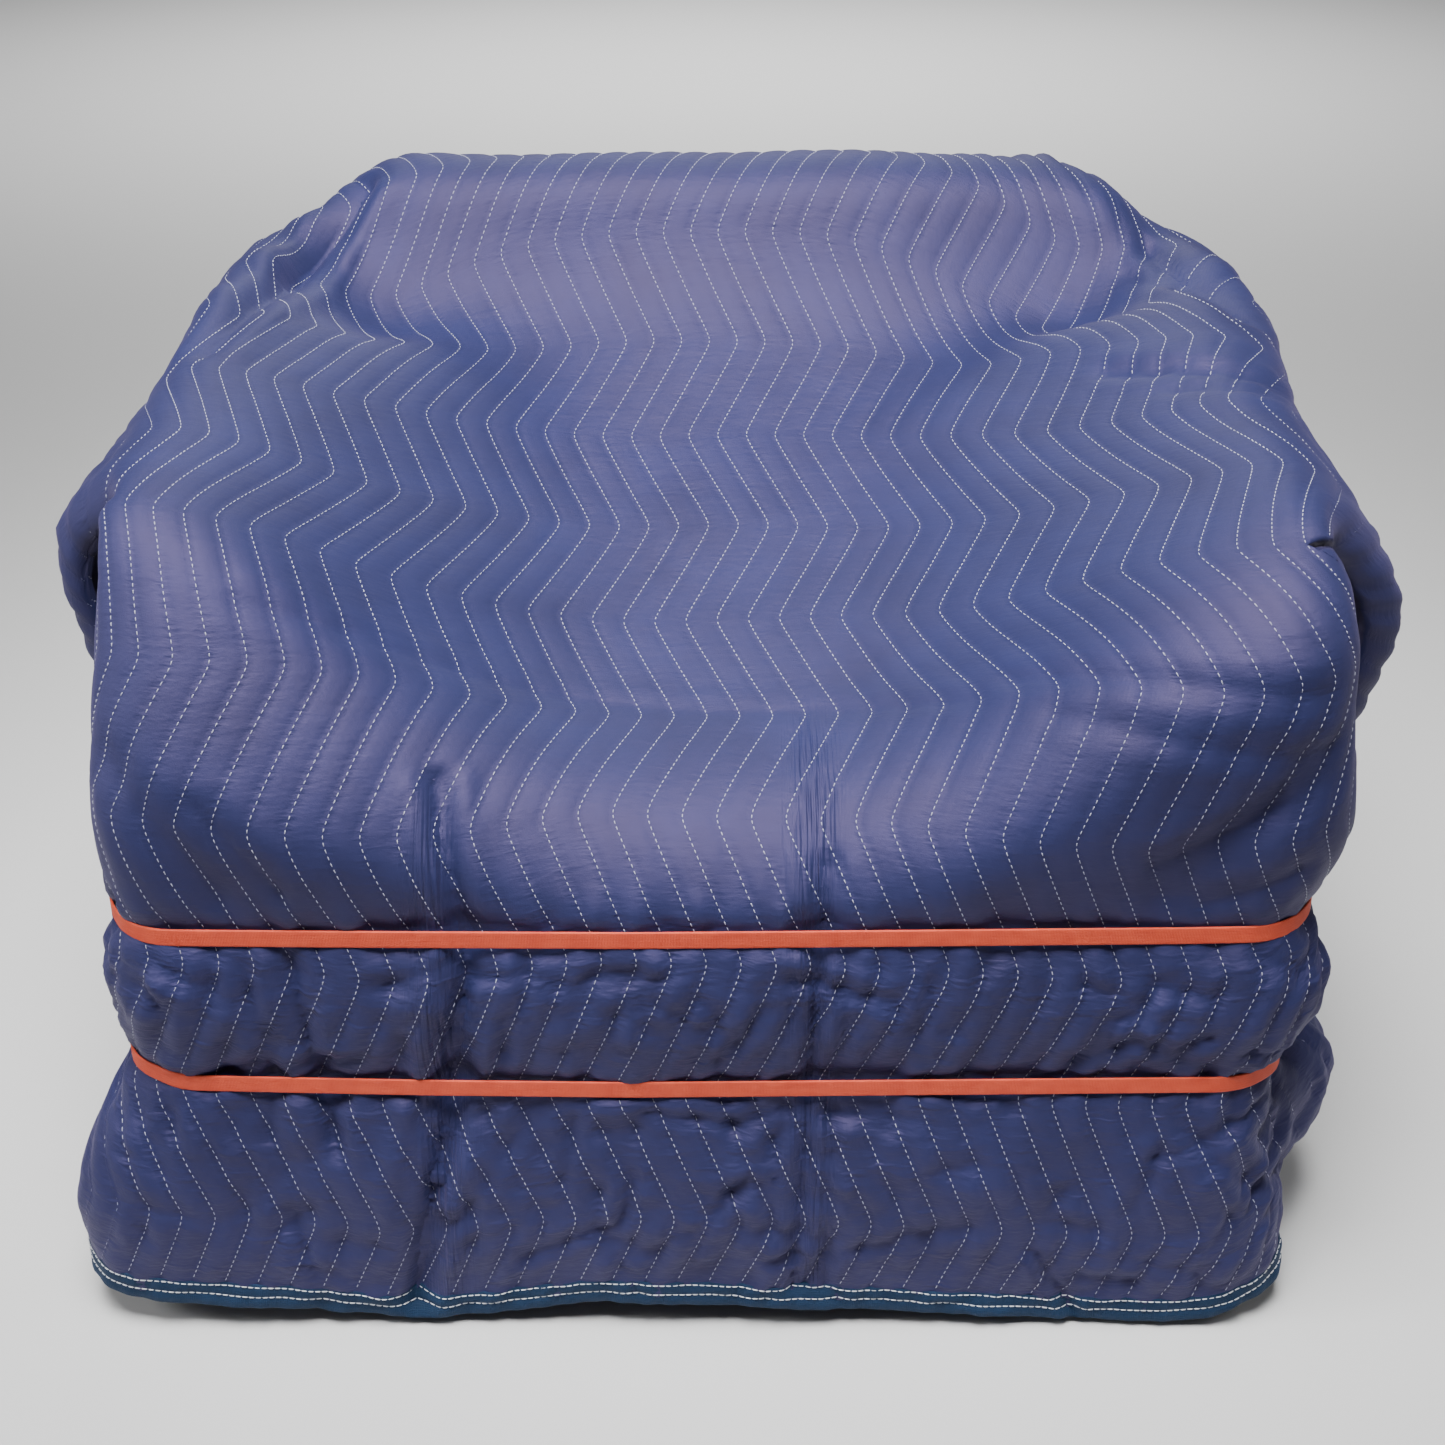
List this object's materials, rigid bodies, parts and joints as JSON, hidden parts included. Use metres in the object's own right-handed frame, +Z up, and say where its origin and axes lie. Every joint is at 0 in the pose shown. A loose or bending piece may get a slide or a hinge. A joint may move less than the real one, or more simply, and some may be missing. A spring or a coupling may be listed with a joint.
{
  "type": "quilted moving blanket",
  "caption": "Quilted moving blanket draped over the shape of an armchair that is left out, bound at its hems and held by elastic bands round it; hollow underneath.",
  "frame": {"origin": "on the underside of the cloth, in the middle of the crest that lies over the chair's back", "axes": "+Z up, -Y towards the front flap that the camera faces, +X towards the right side panel as seen from the front"},
  "size_m": [1.0396, 0.8275, 0.771],
  "materials": {
    "woven_polyester": "slightly shiny woven polyester, quilted with pale thread",
    "binding_tape": "matt woven tape, stitched along its inner edge",
    "orange_elastic": "matt flat elastic, ribbed along its length"
  },
  "bodies": {
    "root": {"quilted_cloth": "woven_polyester", "front_binding": "binding_tape", "left_binding": "binding_tape", "right_binding": "binding_tape", "back_binding": "binding_tape", "upper_band": "orange_elastic", "lower_band": "orange_elastic"}
  },
  "joints": []
}
